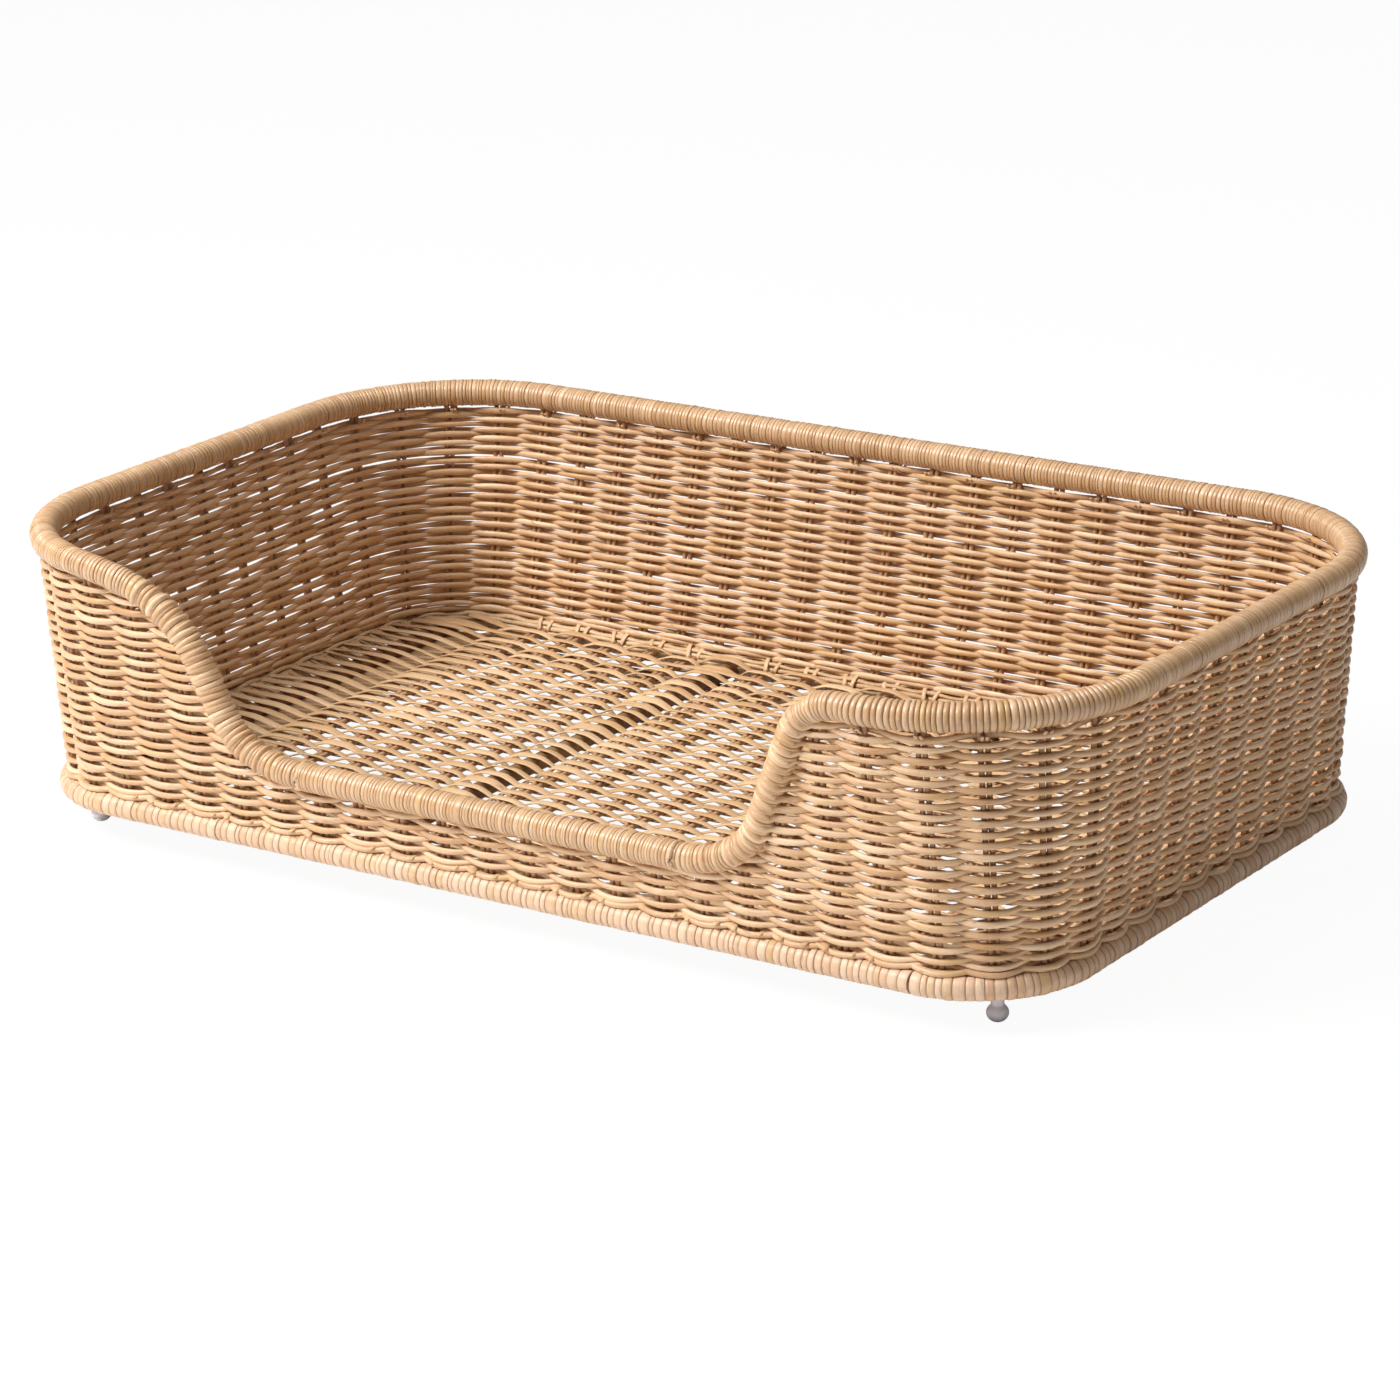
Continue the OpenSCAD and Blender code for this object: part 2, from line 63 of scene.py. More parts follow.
sill_z = (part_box("rim_binding_sill")[0].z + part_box("rim_binding_sill")[1].z) / 2
pairs = 70
strand = 1.75 * MM          # half a strand where it is pressed against its neighbours
strand_high = 2.15 * MM     # half its height where it passes a stake
strand_deep = 1.6 * MM      # half its depth
stake = 1.8 * MM
stake_gap = 2.1 * MM
lean = 8 * MM


# ---- The wall's middle surface -------------------------------------------------------
def level(z):
    return (z - hoop_z) / rise


def outline(z):
    """Half length, half width and corner radius of the wall at height z."""
    t = level(z)
    return (base_x - inset + (rim_x - base_x + inset) * t,
            base_y - inset + (rim_y - base_y + inset) * t,
            base_corner - inset + (rim_corner - base_corner + inset) * t)


def half_round(z):
    x, y, r = outline(z)
    return 2 * (x + y - 2 * r + r * np.pi / 2)


def on_wall(d, z, out=0.0):
    """Points d round the wall from the front centre, at height z, moved out from its middle,
    and the outward direction there."""
    d, z, out = np.broadcast_arrays(*(np.asarray(v, float) for v in (d, z, out)))
    hx, hy, r = outline(z)
    lx, ly, bend, half = hx - r, hy - r, r * np.pi / 2, half_round(z)
    d = (d + half) % (2 * half) - half
    a, side = np.abs(d), np.where(d < 0, -1.0, 1.0)
    first = np.clip((a - lx) / r, 0, np.pi / 2)
    second = np.clip((a - lx - bend - 2 * ly) / r, 0, np.pi / 2)
    turn = first + second
    nx, ny = np.sin(turn), -np.cos(turn)
    x = np.minimum(a, lx) - np.maximum(a - lx - 2 * bend - 2 * ly, 0) + r * nx
    y = -ly + np.clip(a - lx - bend, 0, 2 * ly) + r * ny
    out_way = np.stack([side * nx, ny, np.zeros_like(nx)], -1)
    return np.stack([side * x, y, z], -1) + out_way * out[..., None], out_way


pitch = 2 * half_round(hoop_z) / pairs
spread_by = (half_round(rim_z) - half_round(hoop_z)) / 2


def stake_place(q, z):
    """How far round stake number q stands at height z; q may lie between stakes."""
    q = (np.asarray(q, float) + pairs / 2) % pairs - pairs / 2
    x, y, r = outline(hoop_z)
    lx, bend, half = x - r, r * np.pi / 2, half_round(hoop_z)
    a = np.abs(q) * pitch
    knots = [0, lx - 0.03, lx + bend + 0.03, half - lx - bend - 0.03, half - lx + 0.03, half]
    wide = np.interp(a, knots, [0, 0, spread_by, spread_by, 2 * spread_by, 2 * spread_by])
    return q * pitch + level(z) * (np.sign(q) * wide - lean)


def drift(where, spacing, size):
    """A slow random change along a strand: a smooth line through random levels."""
    k = np.asarray(where, float) / spacing
    base = np.floor(k).astype(int)
    levels = rng.normal(0, size, base.max() - base.min() + 2)
    f = k - base
    f = f * f * (3 - 2 * f)
    base = base - base.min()
    return levels[base] * (1 - f) + levels[base + 1] * f


# ---- Making pieces -------------------------------------------------------------------
class Lot:
    """Collects swept strands and strips, and makes one piece of them."""

    def __init__(self):
        self.points, self.quads, self.grain, self.tone, self.deep = [], [], [], [], []
        self.count = 0

    def add(self, path, side, wide, thick=None, tone=0.5, sides=8, deep=0.0, square=1.0,
            skew=0.0, wound=False, ends=True):
        """A tube along path. wide is its half size along side, thick its half size across, square
        below 1 flattens its faces, skew leans its rings along the path, and wound turns the grain
        round the tube. tone varies the colour from strand to strand, and the groove value paints
        shade into a groove, darkening its colour where shade would fall."""
        path = np.asarray(path, float)
        n = len(path)
        thick = wide if thick is None else thick
        wide, thick, tone, deep, skew = (np.broadcast_to(np.asarray(v, float), n).copy()
                                         for v in (wide, thick, tone, deep, skew))
        ahead = np.gradient(path, axis=0)
        ahead /= np.maximum(np.linalg.norm(ahead, axis=1), 1e-12)[:, None]
        side = np.broadcast_to(np.asarray(side, float), path.shape)
        u = side - (side * ahead).sum(1)[:, None] * ahead
        u /= np.maximum(np.linalg.norm(u, axis=1), 1e-12)[:, None]
        v = np.cross(ahead, u)
        if ends:
            closed = 0.02
            first, last = slice(0, 1), slice(n - 1, n)
            path, u, v, ahead, tone, deep, skew = (
                np.concatenate([w[first], w, w[last]]) for w in (path, u, v, ahead, tone, deep, skew))
            wide, thick = (np.concatenate([w[first] * closed, w, w[last] * closed])
                           for w in (wide, thick))
            n += 2
        angle = np.arange(sides) * 2 * np.pi / sides
        c, s = np.cos(angle), np.sin(angle)
        c, s = (np.sign(w) * np.abs(w) ** square for w in (c, s))
        ring = (path[:, None] + (wide[:, None] * c)[..., None] * u[:, None]
                + (thick[:, None] * s)[..., None] * v[:, None]
                + (skew[:, None] * c)[..., None] * ahead[:, None])
        i, j = np.meshgrid(np.arange(n - 1), np.arange(sides), indexing="ij")
        k = (j + 1) % sides
        quad = np.stack([i * sides + j, i * sides + k, (i + 1) * sides + k, (i + 1) * sides + j], -1)
        far = np.concatenate([[0], np.cumsum(np.linalg.norm(np.diff(path, axis=0), axis=1))])
        girth = np.pi * (wide + thick)
        over = np.stack([j, j + 1, j + 1, j], -1) / sides
        length = np.stack([far[i], far[i], far[i + 1], far[i + 1]], -1)
        girths = girth[i][..., None]
        grain = np.stack([over * girths, length] if wound else [length, over * girths], -1)
        self.points.append(ring.reshape(-1, 3))
        self.quads.append(quad.reshape(-1, 4) + self.count)
        self.grain.append(grain.reshape(-1, 4, 2))
        self.tone.append(np.repeat(tone, sides))
        self.deep.append(np.repeat(deep, sides))
        self.count += n * sides

    def piece(self, name, finish, slot, *stands_for):
        """One object from all that was added, in place of the CAD nodes named last."""
        points, quads = np.concatenate(self.points), np.concatenate(self.quads)
        mesh = bpy.data.meshes.new(name)
        mesh.vertices.add(len(points))
        mesh.vertices.foreach_set("co", points.astype(np.float32).ravel())
        mesh.loops.add(quads.size)
        mesh.loops.foreach_set("vertex_index", quads.astype(np.int32).ravel())
        mesh.polygons.add(len(quads))
        mesh.polygons.foreach_set("loop_start", np.arange(0, quads.size, 4, dtype=np.int32))
        mesh.polygons.foreach_set("use_smooth", np.ones(len(quads), bool))
        mesh.update(calc_edges=True)
        grain = mesh.uv_layers.new(name="grain")
        grain.data.foreach_set("uv", np.concatenate(self.grain).astype(np.float32).ravel())
        # tone is each strand's own colour; the groove value carries painted shade for the finish.
        for kind, values in (("tone", self.tone), ("deep", self.deep)):
            made = mesh.attributes.new(kind, "FLOAT", "POINT")
            made.data.foreach_set("value", np.concatenate(values).astype(np.float32))
        mesh.materials.append(finish)
        thing = bpy.data.objects.new(name, mesh)
        bpy.context.scene.collection.objects.link(thing)
        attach(thing, "root")
        if stands_for:
            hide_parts(*stands_for)
        return thing


class Line:
    """A smooth line in space, read by the distance along it."""

    def __init__(self, points, sides):
        self.points, self.sides = np.asarray(points, float), np.asarray(sides, float)
        steps = np.linalg.norm(np.diff(self.points, axis=0), axis=1)
        self.far = np.concatenate([[0], np.cumsum(steps)])
        self.length = self.far[-1]
        way = np.gradient(self.points, self.far, axis=0)
        self.ways = way / np.linalg.norm(way, axis=1)[:, None]

    def at(self, s):
        return [np.stack([np.interp(s, self.far, w[:, k]) for k in range(3)], -1)
                for w in (self.points, self.sides, self.ways)]


# ---- Finishes ------------------------------------------------------------------------
class Reading:
    """What one socket of a finish gives, with ordinary arithmetic for single values."""

    def __init__(self, finish, socket):
        self.finish, self.socket = finish, socket

    def _sum(self, how, a, b):
        return self.finish.node("ShaderNodeMath", {"operation": how}, {0: a, 1: b})

    def __add__(self, other):
        return self._sum("ADD", self, other)

    def __mul__(self, other):
        return self._sum("MULTIPLY", self, other)

    __radd__, __rmul__ = __add__, __mul__


class Finish:
    """The nodes of one material, or of a world, and the ways of adding to them."""

    def __init__(self, name, owner=None):
        self.material = owner or bpy.data.materials.new(name)
        self.material.use_nodes = True
        self.tree = self.material.node_tree
        self.shader = self.tree.nodes["Background" if owner else "Principled BSDF"]

    def node(self, kind, settings=None, inputs=None, out=0):
        made = self.tree.nodes.new(kind)
        for key, value in (settings or {}).items():
            if key == "stops":
                while len(made.color_ramp.elements) < len(value):
                    made.color_ramp.elements.new(0.5)
                for stop, (place, shade) in zip(made.color_ramp.elements, value):
                    stop.position, stop.color = place, shade
            else:
                setattr(made, key, value)
        self.fill(made, inputs or {})
        return Reading(self, made.outputs[out])

    def fill(self, made, inputs):
        for key, value in inputs.items():
            if isinstance(value, Reading):
                self.tree.links.new(value.socket, made.inputs[key])
            else:
                made.inputs[key].default_value = value

    def blend(self, a, b, share, way="MIX"):
        return self.node("ShaderNodeMix", {"data_type": "RGBA", "blend_type": way},
                         {0: share, 6: a, 7: b}, out=2)

    def stretched(self, place, scale, shift):
        """A place for a texture: stretched, then moved along Z by shift."""
        big = self.node("ShaderNodeVectorMath", {"operation": "MULTIPLY"}, {0: place, 1: scale})
        move = self.node("ShaderNodeCombineXYZ", {}, {"Z": shift})
        return self.node("ShaderNodeVectorMath", {"operation": "ADD"}, {0: big, 1: move})

    def noise(self, place, detail=2.0, rough=0.5):
        return self.node("ShaderNodeTexNoise", {}, {"Vector": place, "Scale": 1.0, "Detail": detail,
                                                    "Roughness": rough})

    def ramp(self, value, low, high):
        return self.node("ShaderNodeMapRange", {"clamp": True},
                         {"Value": value, "From Min": low, "From Max": high})

    def bump(self, height, distance, strength=1.0):
        return self.node("ShaderNodeBump", {}, {"Height": height, "Distance": distance,
                                                "Strength": strength})


def shade(r, g, b):
    """A colour given as eye values from 0 to 255, as the light values a shader wants."""
    return tuple(v / 255 / 12.92 if v <= 10 else ((v / 255 + 0.055) / 1.055) ** 2.4
                 for v in (r, g, b)) + (1.0,)


def rattan(name, pale, warm, dark, gloss, fibre, coat=0.0, knots=0.5, edge=0.65):
    """Rattan: colour that changes from strand to strand and along it, fine fibre and knots, and
    painted shade that darkens the grooves between strips.
    Each pair of stretches is in cycles per metre, along the strand and across it."""
    f = Finish(name)
    place = f.node("ShaderNodeUVMap", {"uv_map": "grain"})
    tone = f.node("ShaderNodeAttribute", {"attribute_name": "tone"}, out="Fac")
    # How far into a groove each point lies, which drives the painted shade below.
    deep = f.node("ShaderNodeAttribute", {"attribute_name": "deep"}, out="Fac")
    shift = tone * 91.0
    slow = f.noise(f.stretched(place, (9, 40, 1), shift), 2.0)
    lines = f.noise(f.stretched(place, (70, 2600, 1), shift), 3.0, 0.6)
    fine = f.noise(f.stretched(place, (240, 5200, 1), shift), 2.0, 0.6)
    spots = f.noise(f.stretched(place, (130, 420, 1), shift), 1.0)
    share = f.ramp(tone * 0.55 + slow * 0.9, 0.28, 1.1)
    colour = f.blend(pale, warm, share)
    colour = f.blend(colour, dark, f.ramp(lines, 0.5, 0.86) * fibre)
    colour = f.blend(colour, shade(250, 232, 205), f.ramp(fine, 0.55, 0.85) * fibre * 0.6)
    yellow = f.noise(f.stretched(place, (5, 8, 1), shift + 40.0), 1.0)
    colour = f.blend(colour, shade(206, 166, 104), f.ramp(yellow, 0.54, 0.7) * 0.45)
    colour = f.blend(colour, shade(150, 92, 60), f.ramp(spots, 0.66, 0.8) * knots)
    # Painted shade: the colour is darkened towards a deep brown in the grooves between strips, where
    # shade falls; edge sets how strongly.
    colour = f.blend(colour, shade(92, 52, 28), deep * edge)
    f.fill(f.shader, {
        "Base Color": colour, "Coat Weight": coat, "Coat Roughness": 0.3, "Specular IOR Level": 0.45,
        "Roughness": f.ramp(lines, 0.2, 0.8) * 0.16 + gloss,
        "Normal": f.bump(lines * 0.6 + fine * 0.4, 0.00025, 0.8)})
    return f.material


core = rattan("rattan_core", shade(240, 208, 172), shade(196, 150, 104), shade(134, 84, 48),
              0.36, 0.7, coat=0.12)
stake_core = rattan("stake_core", shade(205, 165, 128), shade(176, 134, 100), shade(120, 84, 60),
                    0.46, 0.5)
peel = rattan("rattan_peel", shade(222, 186, 148), shade(190, 148, 106), shade(126, 80, 48),
              0.28, 0.6, coat=0.35, knots=0.3)
base_peel = rattan("base_peel", shade(232, 202, 174), shade(214, 174, 138), shade(165, 115, 80),
                   0.36, 0.6, coat=0.12, knots=0.5)
strip_peel = rattan("floor_strip", shade(224, 192, 152), shade(194, 154, 110), shade(136, 92, 56),
                    0.38, 0.6, coat=0.08, knots=0.4)
pole_bark = rattan("pole_bark", shade(150, 110, 80), shade(116, 80, 56), shade(66, 42, 28),
                   0.5, 0.6, knots=0.6)


# ---- The rim's line ------------------------------------------------------------------
def curve(a, b, c, n=24):
    t = np.linspace(0, 1, n + 1)[:, None]
    return np.array(a) * (1 - t) ** 2 + np.array(b) * 2 * t * (1 - t) + np.array(c) * t ** 2


def slope_line(side, foot, mouth, run, drop, toe_run, toe_rise):
    """The rim from the level top down to the sill, as way round and height."""
    def at(z):
        return [side * (foot + (mouth - foot) * (z - sill_z) / (rim_z - sill_z)), z]
    top = curve([side * (mouth + run), rim_z], [side * mouth, rim_z], at(rim_z - drop))
    toe = curve(at(sill_z + toe_rise), [side * foot, sill_z], [side * (foot - toe_run), sill_z])
    straight = np.linspace(top[-1], toe[0], 12)[1:-1]
    return np.concatenate([top, straight, toe])


left_rim = slope_line(-1, 0.188, 0.235, 0.083, 0.054, 0.048, 0.037)
right_rim = slope_line(1, 0.193, 0.247, 0.025, 0.025, 0.048, 0.037)


def rim_run(start, stop, steps=80):
    d = np.linspace(start, stop, steps)
    return Line(*on_wall(d, np.full(steps, rim_z)))


def rim_slope(line):
    return Line(*on_wall(line[:, 0], line[:, 1]))


rim_half_x = rim_x - rim_corner
rim_bend = rim_corner * np.pi / 2
rim_side = 2 * (rim_y - rim_corner)
rim_all = half_round(rim_z)


# Across one strip of peel: where its rings stand, how far each falls, and how much painted shade
# darkens its groove.
peel_part = np.array([0.02, 0.09, 0.3, 0.7, 0.91, 0.98])
peel_fall = np.array([1.0, 0.36, 0.03, 0.03, 0.36, 1.0])
peel_groove_shade = np.array([1.0, 0.12, 0.0, 0.0, 0.12, 1.0])


def bound(node, line, radius, wide, crown, finish=peel, ragged=0.22, uneven=0.12 * MM, sides=20):
    """Winds strips of peel round a pole, side by side, each a little different, for one node."""
    widths = np.exp(rng.normal(np.log(wide), ragged, int(line.length / wide) + 1))
    edges = np.concatenate([[0], np.cumsum(widths)]) * line.length / widths.sum()
    n, rings = len(widths), len(peel_part)
    s = (edges[:-1, None] + np.diff(edges)[:, None] * peel_part).ravel()
    full_crown = 2.4 * MM
    rise_by = np.minimum(1, np.diff(edges) / full_crown)[:, None]
    proud = rng.normal(0, uneven, n)
    r = (radius - 0.2 * MM + proud[:, None] - crown * peel_fall * rise_by).ravel()
    tilt = drift(np.arange(n), 9, 0.5 * MM) + rng.normal(0, 0.1 * MM, n)
    points, side, _ = line.at(s)
    lot = Lot()
    # The edges of each strip, where it sinks into the groove beside the next, get painted shade.
    lot.add(points, side, np.minimum(r, radius + 0.3 * MM), tone=np.repeat(rng.random(n), rings),
            sides=sides, deep=np.tile(peel_groove_shade, n), skew=np.repeat(tilt, rings), wound=True)
    lot.piece(node + "_wound", finish, "rattan_peel", node)


rim_strip = 2.8 * MM
back_from = rim_all - rim_half_x
side_from, side_to = rim_half_x + rim_bend, rim_half_x + rim_bend + rim_side
for node, start, stop in (("rim_binding_back", back_from, rim_all + rim_half_x),
                          ("rim_binding_right", side_from, side_to),
                          ("rim_binding_left", -side_to, -side_from),
                          ("rim_binding_back_right", side_to, back_from),
                          ("rim_binding_back_left", -back_from, -side_to),
                          ("rim_binding_front_left", -side_from, left_rim[0, 0])):
    bound(node, rim_run(start, stop), rim_radius, rim_strip, 0.5 * MM)
bound("rim_binding_front_right", rim_run(rim_half_x, side_from), rim_radius, 3.6 * MM, 1.2 * MM,
      ragged=0.12)
bound("rim_binding_sill", Line(*on_wall(np.linspace(left_rim[-1, 0], right_rim[-1, 0], 60), sill_z)),
      rim_radius, rim_strip, 0.45 * MM)
slopes = {"left": rim_slope(left_rim),
          "right": rim_slope(np.concatenate([[[rim_half_x, rim_z]], right_rim]))}
for name in slopes:
    bound("rim_binding_slope_" + name, slopes[name], rim_radius - 0.5 * MM, 3.0 * MM, 0.8 * MM,
          ragged=0.2)


# ---- The base hoop's own line, bound with wide strips ----------------------------------
def hoop_path(corner_steps=24, step=0.008):
    """Points round the hoop's pole and the outward way at each, from its front right corner."""
    turn = np.linspace(0, np.pi / 2, corner_steps)
    ring, outward = [], []
    for cx, cy, start in ((1, -1, -np.pi / 2), (1, 1, 0), (-1, 1, np.pi / 2), (-1, -1, np.pi)):
        c, s = np.cos(turn + start), np.sin(turn + start)
        ring.append(np.stack([cx * (base_x - base_corner) + base_corner * c,
                              cy * (base_y - base_corner) + base_corner * s,
                              np.full(corner_steps, hoop_z)], -1))
        outward.append(np.stack([c, s, np.zeros(corner_steps)], -1))
    ring, outward = np.concatenate(ring), np.concatenate(outward)
    points, sides = [ring[0]], [outward[0]]
    for a, b, p, q in zip(ring, np.roll(ring, -1, 0), outward, np.roll(outward, -1, 0)):
        steps = max(1, int(np.linalg.norm(b - a) / step))
        for k in range(1, steps + 1):
            points.append(a + (b - a) * k / steps)
            sides.append(p + (q - p) * k / steps)
    return Line(points, sides)


hoop_line = hoop_path()
bound("base_binding", hoop_line, hoop_radius, 5.4 * MM, 0.4 * MM, base_peel, ragged=0.25, sides=22)

# ---- The wall weave ------------------------------------------------------------------
first_z = hoop_z + hoop_radius + strand + 0.3 * MM
last_z = rim_z - rim_radius - strand - 1.0 * MM
courses = 43
low_count = int((sill_z - rim_radius - strand - first_z) / ((last_z - first_z) / (courses - 1))) + 1
reach = stake + strand_deep - 0.1 * MM


def slope_at(name, z):
    """Where the sloping rim passes height z: a point, the outward way, and the way down."""
    line = slopes[name]
    s = np.interp(z, line.points[::-1, 2], line.far[::-1])
    return [w[0] for w in line.at(np.array([s]))]


def loop_round(name, z, outside):
    """The turn a strand takes round the sloping rim pole at the end of its course."""
    point, out_way, down = slope_at(name, z)
    toward = np.cross(out_way, down)
    if (toward[0] > 0) == (name == "right"):
        toward = -toward
    a = np.radians(np.linspace(-48, 228, loop_steps))
    if not outside:
        a = a[::-1]
    r = rim_radius - strand_deep + 0.3 * MM
    return (point + r * (np.cos(a)[:, None] * out_way + np.sin(a)[:, None] * toward)
            + down * np.linspace(-0.5, 0.5, loop_steps)[:, None] * 2.2 * MM)


def open_reach(name, z):
    """The stake number at which a course meets the sloping rim."""
    away = np.linspace(2, 12, 400)
    q = away if name == "right" else -away[::-1]
    point, _, _ = slope_at(name, z)
    return float(np.interp(point[0], stake_place(q, z), q))


course_lots = [Lot() for _ in range(4)]
per_pair = 9                # points along a strand from one stake pair to the next
bend_sharp = 0.6            # how flatly a strand lies against each stake
loop_steps = 15
closed_lap = 0.4            # stake spacings by which a closed course overlaps itself
rim_short = 0.28            # stake spacings by which an open course stops short of the rim
for i in range(courses):
    share = i / (courses - 1)
    z0 = first_z + (last_z - first_z) * share
    closed = i < low_count
    if closed:
        start = 18.0 + rng.integers(0, 8)
        stop = start + pairs + closed_lap
    else:
        start, stop = open_reach("right", z0) + rim_short, pairs + open_reach("left", z0) - rim_short
    q = np.linspace(start, stop, int((stop - start) * per_pair))
    wave = np.cos(np.pi * (q + i))
    wave = np.tanh(bend_sharp * wave) / np.tanh(bend_sharp)
    sag = (0.95 + 1.0 * np.exp(-i / 2.2)) * MM
    height = (z0 + drift(q, 3.1, 0.3 * MM) + drift(q, 1.0, 0.16 * MM)
              + np.sin(np.pi * share) * drift(q, 14, 0.45 * MM) - sag * wave)
    out = wave * reach * (1 + drift(q, 1.0, 0.06))
    path, side = on_wall(stake_place(q, z0), height, out)
    thick = (strand_high * (0.8 + 0.2 * np.abs(wave)) * (1 + rng.normal(0, 0.06))
             * (1 + drift(q, 5, 0.03)) * (1 + drift(q, 0.8, 0.07)))
    lone = rng.random() + drift(q, 17, 0.12)
    if not closed:
        path = np.concatenate([loop_round("right", z0, wave[0] > 0)[::-1], path,
                               loop_round("left", z0, wave[-1] > 0)])
        extra = np.full(loop_steps, strand + 0.2 * MM)
        thick = np.concatenate([extra, thick, extra])
        lone = np.pad(lone, loop_steps, mode="edge")
    course_lots[i * 4 // courses].add(path, [0, 0, 1.0], thick, strand_deep,
                                      tone=np.clip(lone, 0, 1), sides=10)
weave_nodes = [["weave_front_low", "weave_back"], ["weave_left", "weave_right"],
               ["weave_front_left", "weave_front_right", "weave_corner_front_left"],
               ["weave_corner_back_left", "weave_corner_back_right", "weave_corner_front_right"]]
for k, (lot, nodes) in enumerate(zip(course_lots, weave_nodes)):
    lot.piece(f"wall_courses_{k + 1}", core, "rattan_core", *nodes)

# Border strands round the foot of the wall, dipping where they pass outside a stake.
lot = Lot()
for i in range(2):
    q = np.linspace(20 + 5 * i, 90.4 + 5 * i, 70 * 10)
    wave = np.cos(np.pi * (q + i))
    border = 1.9 * MM
    z = hoop_z + hoop_radius + 2.1 * MM - 1.5 * MM * wave + drift(q, 2, 0.25 * MM)
    path, side = on_wall(stake_place(q, hoop_z), z, wave * (stake + border) + 1.2 * MM)
    lot.add(path, [0, 0, 1.0], border, tone=np.clip(0.5 + drift(q, 9, 0.25), 0, 1))
lot.piece("foot_border_arcs", core, "rattan_core", "foot_border")


# ---- Stakes --------------------------------------------------------------------------
def under_rim(d):
    """Height of the rim's centre line over a place on the front."""
    z = np.full(np.shape(d), rim_z)
    z = np.where(np.abs(d) < 0.145, sill_z, z)
    z = np.where((d <= -0.14) & (d > left_rim[0, 0]), np.interp(d, left_rim[:, 0], left_rim[:, 1]), z)
    return np.where((d >= 0.144) & (d < right_rim[0, 0]),
                    np.interp(d, right_rim[::-1, 0], right_rim[::-1, 1]), z)


lot = Lot()
foot_z = hoop_z + hoop_radius - 1.0 * MM
for j in range(pairs):
    q = j - pairs // 2 + 1
    for k in (-1, 1):
        top = rim_z
        for _ in range(12):
            here = float(stake_place(q, top)) + k * stake_gap
            top = 0.5 * (top + float(under_rim(here)))
        z = np.linspace(foot_z, top - 2 * MM, 16)
        d = stake_place(q, z) + k * stake_gap + drift(z, 0.03, 0.15 * MM)
        path, side = on_wall(d, z, drift(z, 0.03, 0.1 * MM))
        lot.add(path, side, stake * rng.uniform(0.9, 1.03), tone=rng.random(), sides=8)
lot.piece("wall_stakes", stake_core, "rattan_stake", "stakes_back", "stakes_front", "stakes_left",
          "stakes_right", "stakes_corners")

# Tie strips: the binding drops down each stake pair over the top course.
lot = Lot()
for j in range(pairs):
    q = j - pairs // 2 + 1
    d = float(stake_place(q, rim_z))
    if left_rim[0, 0] < d < right_rim[0, 0]:
        continue
    for k, shift in enumerate((-1.6, 1.4)):
        a = np.radians(np.linspace(-35, 215, 13))
        drop = 0.5 * MM + 4.6 * MM * np.cos(np.linspace(-1, 1, 13) * np.pi / 2)
        out = np.linspace(6.6, -6.6, 13) * MM
        path, side = on_wall(d + (shift + rng.normal(0, 0.4)) * MM, rim_z - rim_radius - drop, out)
        lot.add(path, np.cross(side, [0, 0, 1.0]), 1.2 * MM, 0.5 * MM, tone=rng.random(), sides=6)
lot.piece("rim_ties", peel, "rattan_peel")

# ---- The floor -----------------------------------------------------------------------
rib_low, rib_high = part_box("floor_ribs")
rib_z = (rib_low.z + rib_high.z) / 2
rib_r = (rib_high.z - rib_low.z) / 2
end_box, cross_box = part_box("end_pole_right"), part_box("cross_pole_right")
end_x = (end_box[0].x + end_box[1].x) / 2
cross_x = (cross_box[0].x + cross_box[1].x) / 2
pole_r = (end_box[1].z - end_box[0].z) / 2
pole_drop = pole_r - rib_r - 1.4 * MM
runner_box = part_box("runner_back")
runner_y = (runner_box[0].y + runner_box[1].y) / 2
clear = base_corner - hoop_radius - 0.3 * MM
rib_count = int((end_x - 0.5 * pitch - pole_r) / pitch)


def clear_y(x):
    """How far towards the back the room inside the hoop reaches at x."""
    into_corner = max(0.0, x - base_x + base_corner)
    return base_y - base_corner + np.sqrt(max(clear ** 2 - into_corner ** 2, 0))


def clear_x(y):
    """How far towards the end the room inside the hoop reaches at y."""
    into_corner = max(0.0, y - base_y + base_corner)
    return base_x - base_corner + np.sqrt(max(clear ** 2 - into_corner ** 2, 0))


def pole(lot, a, b, r, nodes_every=0.09):
    """A rattan pole with its slight swellings at the nodes."""
    n = 60
    t = np.linspace(0, 1, n)
    length = np.linalg.norm(np.subtract(b, a))
    beat = (t * length / nodes_every + rng.random()) % 1.0
    swell = 1 - 0.03 + 0.03 * np.exp(-((beat - 0.5) / 0.05) ** 2)
    path = np.array(a) + (np.array(b) - np.array(a)) * t[:, None]
    lot.add(path, [0.03, 0.05, 1.0], r * swell, tone=rng.random(), sides=16)


lot = Lot()
for x in (-end_x, -cross_x, cross_x, end_x):
    w = clear_y(abs(x) + pole_r)
    pole(lot, (x, -w, rib_z - pole_drop), (x, w, rib_z - pole_drop), pole_r)
lot.piece("floor_poles", pole_bark, "rattan_pole", "end_pole_left", "end_pole_right",
          "cross_pole_left", "cross_pole_right")
lot = Lot()
run_r = (runner_box[1].z - runner_box[0].z) / 2
for y in (-runner_y, runner_y):
    z = (runner_box[0].z + runner_box[1].z) / 2
    pole(lot, (runner_box[0].x, y, z), (runner_box[1].x, y, z), run_r)
lot.piece("floor_runners", pole_bark, "rattan_pole", "runner_front", "runner_back")
lot = Lot()
cross_slot = round(cross_x / pitch - 0.5)
rib_places = [s * (k + 0.5) * pitch for k in range(rib_count) if k != cross_slot for s in (-1, 1)]
for x in rib_places:
    for k in (-1, 1):
        w = clear_y(abs(x) + 2 * rib_r)
        y = np.linspace(-w, w, 40)
        path = np.stack([x + k * stake_gap + drift(y, 0.06, 0.2 * MM), y, np.full(40, rib_z)], -1)
        lot.add(path, [0, 0, 1.0], rib_r * rng.uniform(0.92, 1.0), tone=rng.random())
lot.piece("floor_rib_rods", stake_core, "rattan_stake", "floor_ribs")

